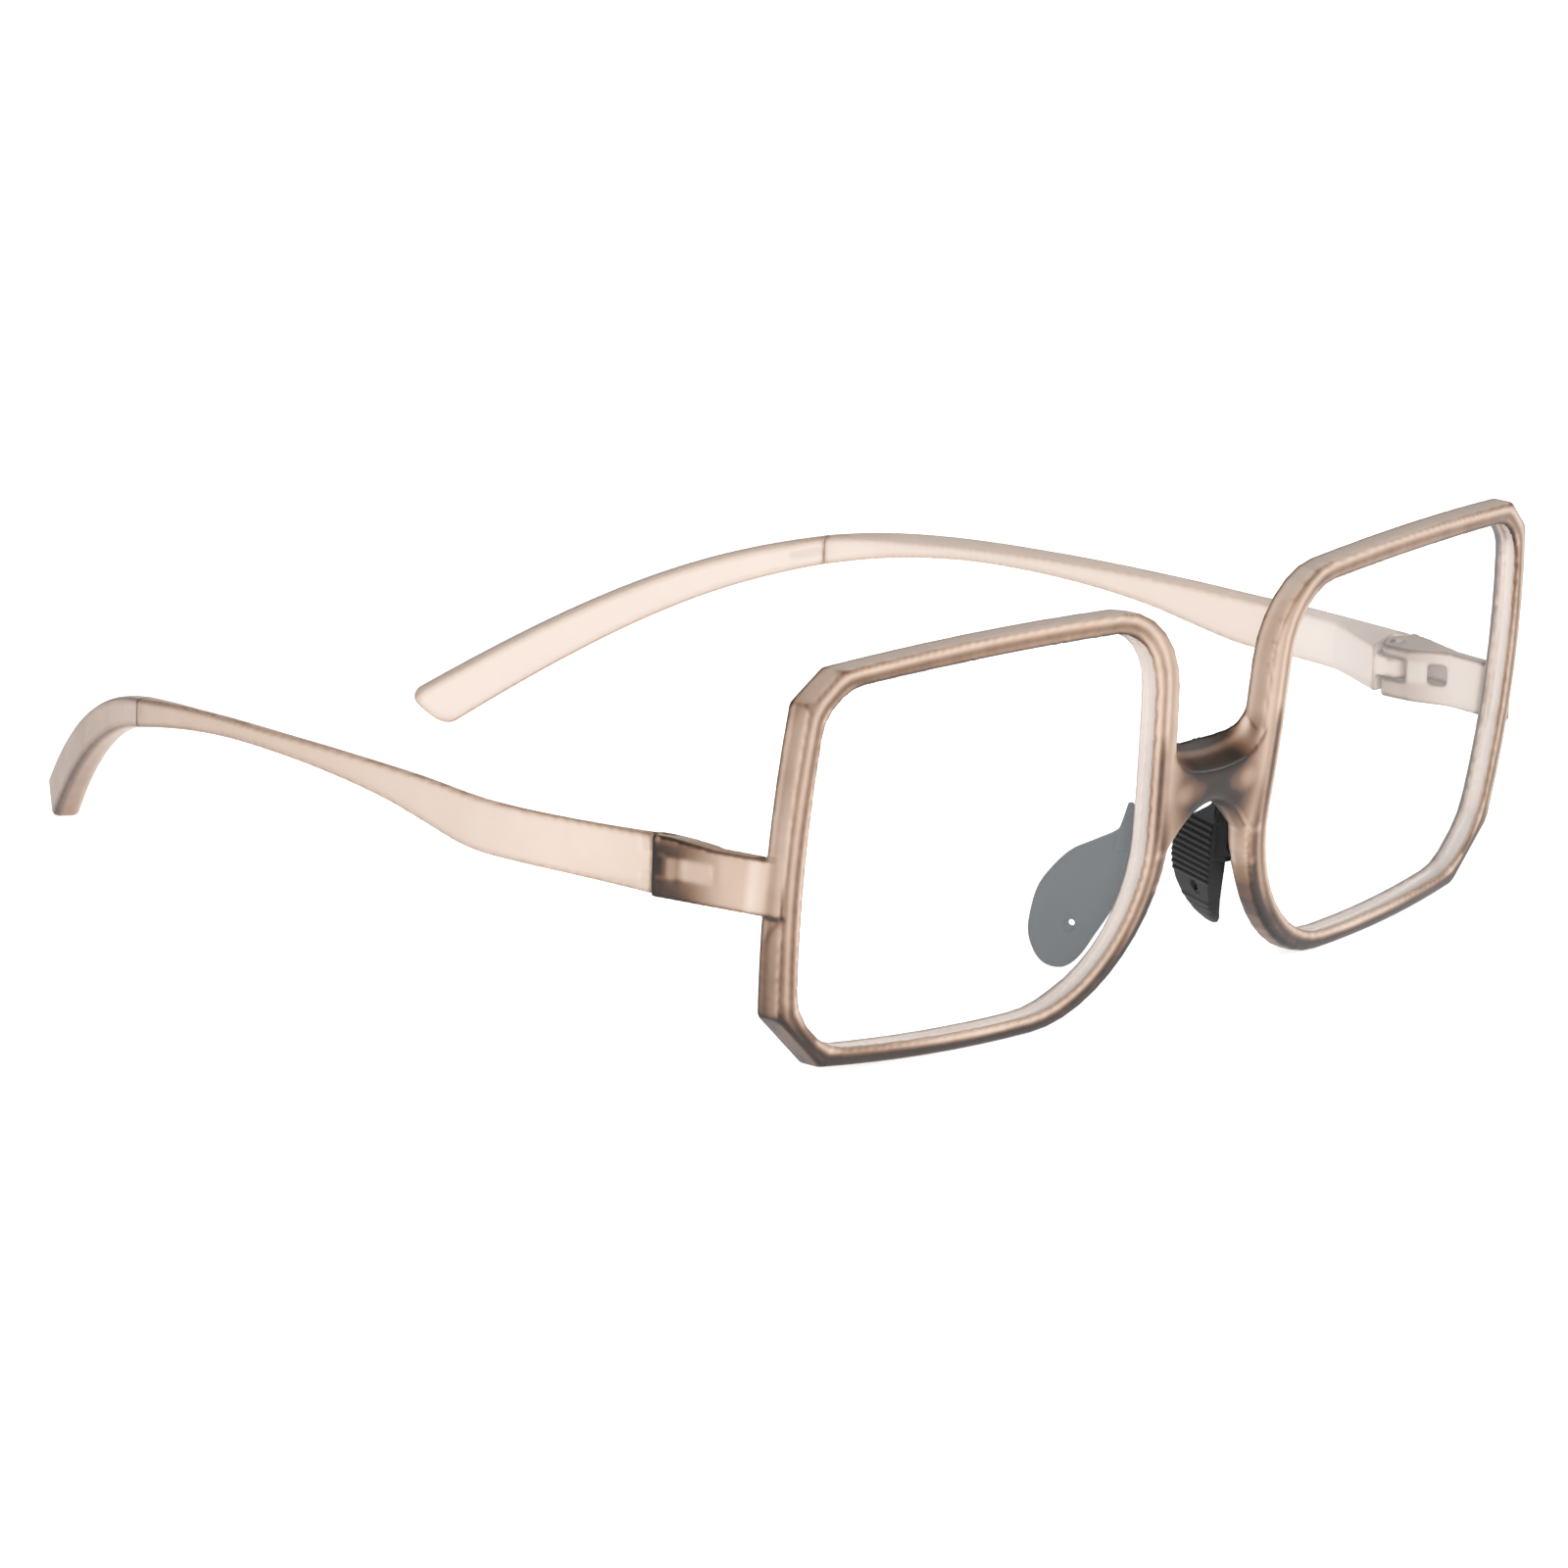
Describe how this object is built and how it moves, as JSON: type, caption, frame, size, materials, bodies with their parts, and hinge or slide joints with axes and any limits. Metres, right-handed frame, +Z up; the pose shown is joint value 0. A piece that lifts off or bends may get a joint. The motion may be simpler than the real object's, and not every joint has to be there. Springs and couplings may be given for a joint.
{
  "type": "billiard glasses",
  "caption": "Tall-lens moulded glasses for the billiard table, with wrapped high rims, a low bridge, folding side arms with curved tips and soft nose pads.",
  "frame": {"origin": "on the rest plane, under the middle of the open glasses' box", "axes": "+X towards the wearer's left, +Y from the front back along the temples, +Z up; the front faces -Y"},
  "size_m": [0.153, 0.164, 0.0525],
  "materials": {
    "frame": "frosted translucent",
    "arm": "frosted translucent",
    "lens": "clear",
    "pad": "matte",
    "pin": "drawn"
  },
  "bodies": {
    "front": {"front_frame": "frame", "lens_left": "lens", "lens_right": "lens", "nose_pad_left": "pad", "nose_pad_right": "pad", "hinge_pin_left": "pin", "hinge_pin_right": "pin"},
    "arm_left": {"temple_left": "arm", "temple_tip_left": "arm"},
    "arm_right": {"temple_right": "arm", "temple_tip_right": "arm"}
  },
  "joints": [
    {"name": "fold_left", "type": "hinge", "parent": "front", "child": "arm_left", "pos_m": [0.0711, -0.05403, 0.0255], "axis": [0, 0, 1], "range_deg": [0, 76]},
    {"name": "fold_right", "type": "hinge", "parent": "front", "child": "arm_right", "pos_m": [-0.0711, -0.05403, 0.0255], "axis": [0, 0, -1], "range_deg": [0, 68]}
  ]
}
